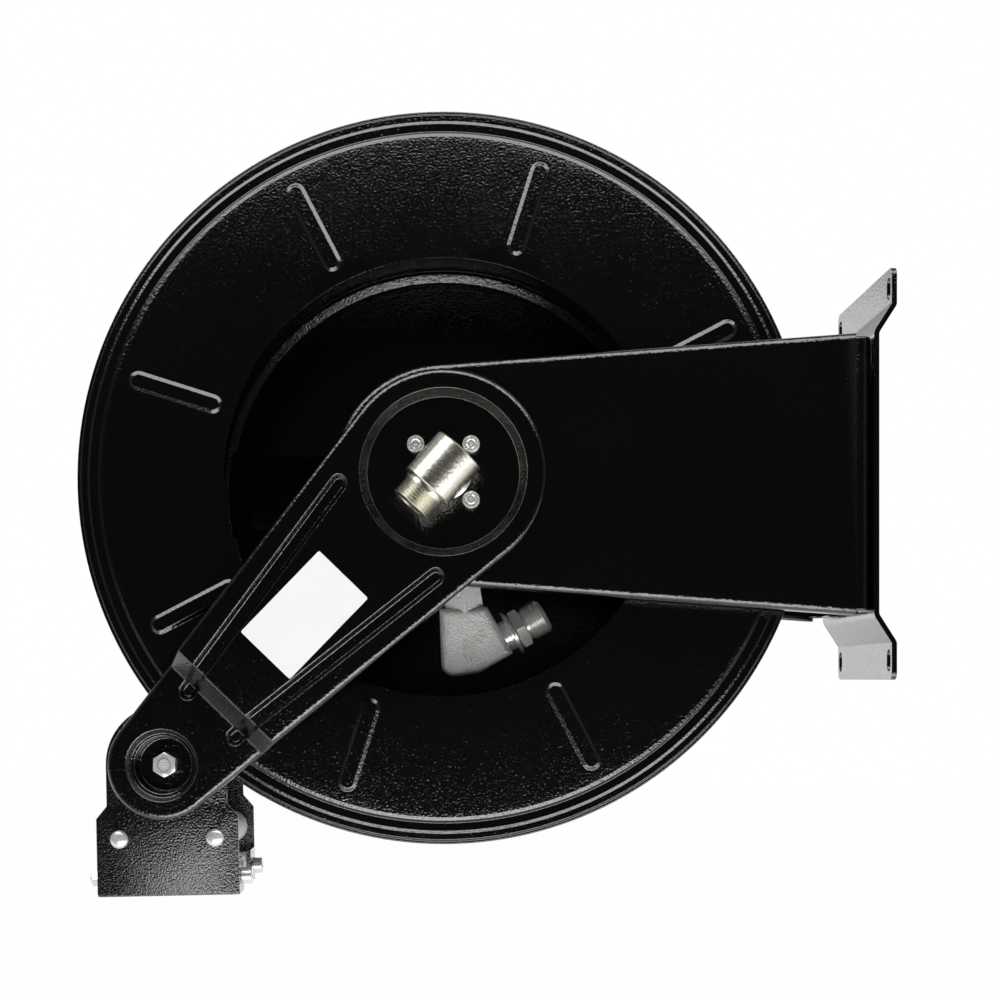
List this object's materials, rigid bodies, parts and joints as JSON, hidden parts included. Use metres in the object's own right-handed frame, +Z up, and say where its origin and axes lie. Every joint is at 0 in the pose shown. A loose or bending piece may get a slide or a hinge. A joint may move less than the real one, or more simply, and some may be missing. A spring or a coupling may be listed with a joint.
{
  "type": "retractable hose reel",
  "caption": "Wall-mounted spring hose reel: a ribbed steel drum between side panels, twin guide arms, a swinging outlet box with rollers, and a swivel inlet.",
  "frame": {"origin": "on the wall, at the middle of the four slots in the wall bracket's feet", "axes": "+X points out of the bracket's back into the wall, -X runs out over the reel, +Z is up, and the reel's axis lies along Y, with the swivel inlet on the -Y side"},
  "size_m": [0.6294, 0.2269, 0.6118],
  "materials": {
    "black_coat": "black textured powder coat",
    "zinc": "bright zinc plate",
    "bright_steel": "polished steel",
    "nickel": "nickel plate, slightly yellow",
    "forged_zinc": "forged, grit-blasted and zinc plated",
    "spring_steel": "oiled spring strip",
    "bronze": "sintered bronze",
    "nylon": "white nylon",
    "white_label": "blank white film"
  },
  "bodies": {
    "frame": {"wall_bracket": "black_coat", "side_panel_near": "black_coat", "side_panel_far": "black_coat", "guide_arm_near": "black_coat", "guide_arm_far": "black_coat", "label_plate": "white_label", "bearing_flange_near": "zinc", "bearing_bush_near": "bronze", "spring_arbor": "zinc", "bearing_bush_far": "bronze", "hub_screw_near_1": "zinc", "hub_screw_near_2": "zinc", "hub_screw_near_3": "zinc", "hub_screw_near_4": "zinc", "hub_screw_far_1": "zinc", "hub_screw_far_2": "zinc", "hub_screw_far_3": "zinc", "hub_screw_far_4": "zinc", "pawl_pin": "zinc", "pivot_bolt_near": "bright_steel", "pivot_nut_near": "bright_steel", "pivot_bolt_far": "bright_steel", "pivot_nut_far": "bright_steel"},
    "drum": {"drum_disc_near": "black_coat", "drum_disc_far": "black_coat", "drum_barrel": "black_coat", "drum_cross_member": "black_coat", "main_shaft": "zinc", "spring_case": "black_coat", "spring_case_cover": "black_coat", "main_spring": "spring_steel", "ratchet_ring": "zinc", "riser_pipe": "zinc", "elbow": "forged_zinc", "outlet_adapter": "zinc", "adapter_washer": "zinc"},
    "inlet": {"swivel_body": "nickel", "swivel_port": "nickel"},
    "pawl": {"pawl": "zinc"},
    "outlet_box": {"box_plate_near": "black_coat", "box_plate_far": "black_coat", "roller_axle_left": "bright_steel", "roller_axle_right": "bright_steel", "axle_clip_left": "bright_steel", "axle_clip_right": "bright_steel", "cross_bolt_near": "zinc", "cross_nut_near": "zinc", "cross_bolt_far": "zinc", "cross_nut_far": "zinc"},
    "roller_left": {"roller_left": "nylon"},
    "roller_right": {"roller_right": "nylon"},
    "cross_roller_near": {"cross_roller_near": "nylon"},
    "cross_roller_far": {"cross_roller_far": "nylon"}
  },
  "joints": [
    {"name": "drum_spin", "type": "hinge", "parent": "frame", "child": "drum", "pos_m": [-0.3444, 0, 0], "axis": [0, -1, 0], "range_deg": [0, 4050]},
    {"name": "inlet_turn", "type": "hinge", "parent": "frame", "child": "inlet", "pos_m": [-0.3444, 0, 0], "axis": [0, -1, 0], "continuous": true},
    {"name": "pawl_swing", "type": "hinge", "parent": "frame", "child": "pawl", "pos_m": [-0.2194, 0, 0.02], "axis": [0, -1, 0], "range_deg": [0, 13]},
    {"name": "outlet_swing", "type": "hinge", "parent": "frame", "child": "outlet_box", "pos_m": [-0.56005, 0, -0.22269], "axis": [0, -1, 0], "range_deg": [-40, 30]},
    {"name": "roller_left_spin", "type": "hinge", "parent": "outlet_box", "child": "roller_left", "pos_m": [-0.59713, 0, -0.28148], "axis": [0, -1, 0], "continuous": true},
    {"name": "roller_right_spin", "type": "hinge", "parent": "outlet_box", "child": "roller_right", "pos_m": [-0.52255, 0, -0.27992], "axis": [0, -1, 0], "continuous": true},
    {"name": "cross_roller_near_spin", "type": "hinge", "parent": "outlet_box", "child": "cross_roller_near", "pos_m": [-0.55917, -0.035, -0.3126], "axis": [0.9998, 0, 0.0209], "continuous": true},
    {"name": "cross_roller_far_spin", "type": "hinge", "parent": "outlet_box", "child": "cross_roller_far", "pos_m": [-0.55917, 0.035, -0.3126], "axis": [0.9998, 0, 0.0209], "continuous": true}
  ]
}
